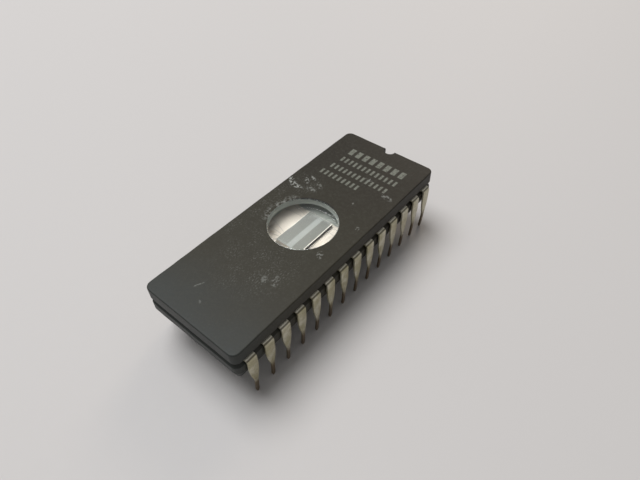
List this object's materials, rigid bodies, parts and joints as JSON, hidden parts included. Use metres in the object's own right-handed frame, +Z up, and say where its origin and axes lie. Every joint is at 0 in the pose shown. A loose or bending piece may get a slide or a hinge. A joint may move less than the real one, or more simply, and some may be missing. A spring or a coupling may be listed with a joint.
{
  "type": "uv eprom chip",
  "caption": "Windowed ceramic dual-in-line memory chip: two sealed ceramic halves, a round lens over the die, and two rows of formed leads.",
  "frame": {"origin": "on the table under the middle of the body, level with the lead tips", "axes": "+X along the body towards the notched end, +Y towards the row with pin 1, +Z up out of the window"},
  "size_m": [0.0368, 0.0152, 0.0089],
  "materials": {
    "ceramic": "matt dark grey-brown pressed alumina",
    "window_glass": "clear, lightly dulled",
    "sealing_glass": "dark semi-gloss frit",
    "silicon": "polished die with two grey arrays",
    "floor_metal": "warm white metallising",
    "lead_metal": "dull tinned strip"
  },
  "bodies": {
    "root": {"ceramic_base": "ceramic", "ceramic_cap": "ceramic", "window_lens": "window_glass", "seal_glass": "sealing_glass", "cavity_floor": "floor_metal", "die": "silicon", "lead_01": "lead_metal", "lead_02": "lead_metal", "lead_03": "lead_metal", "lead_04": "lead_metal", "lead_05": "lead_metal", "lead_06": "lead_metal", "lead_07": "lead_metal", "lead_08": "lead_metal", "lead_09": "lead_metal", "lead_10": "lead_metal", "lead_11": "lead_metal", "lead_12": "lead_metal", "lead_13": "lead_metal", "lead_14": "lead_metal", "lead_15": "lead_metal", "lead_16": "lead_metal", "lead_17": "lead_metal", "lead_18": "lead_metal", "lead_19": "lead_metal", "lead_20": "lead_metal", "lead_21": "lead_metal", "lead_22": "lead_metal", "lead_23": "lead_metal", "lead_24": "lead_metal", "lead_25": "lead_metal", "lead_26": "lead_metal", "lead_27": "lead_metal", "lead_28": "lead_metal"}
  },
  "joints": []
}
